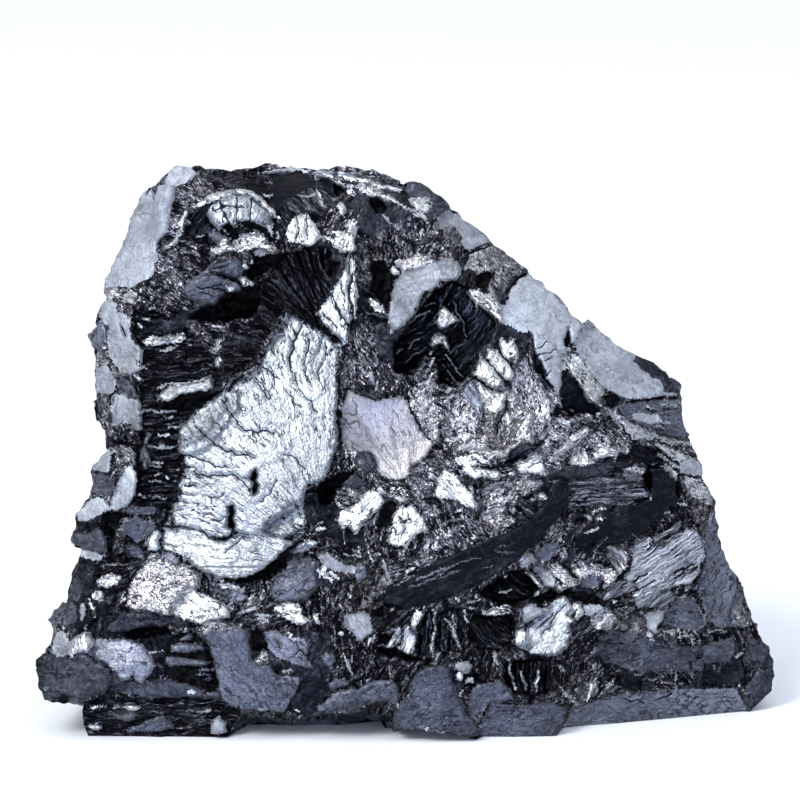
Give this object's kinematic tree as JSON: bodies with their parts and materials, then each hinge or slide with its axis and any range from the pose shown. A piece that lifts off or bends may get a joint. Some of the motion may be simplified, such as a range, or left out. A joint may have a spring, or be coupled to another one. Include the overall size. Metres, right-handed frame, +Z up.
{
  "type": "shungite stone",
  "caption": "Rough lump of silvery black shungite with shell-like break faces, ledges and grains in front, cut flat underneath so that it stands.",
  "frame": {"origin": "middle of the bounding box in plan, at floor level", "axes": "+Z up, +X along the width of the broken front, to the right as the front is seen; the front faces -Y"},
  "size_m": [0.0998, 0.0564, 0.0734],
  "materials": {
    "shungite": "half-metallic mineral, bright on fresh breaks and dull black between them"
  },
  "bodies": {
    "root": {"stone": "shungite"}
  },
  "joints": []
}
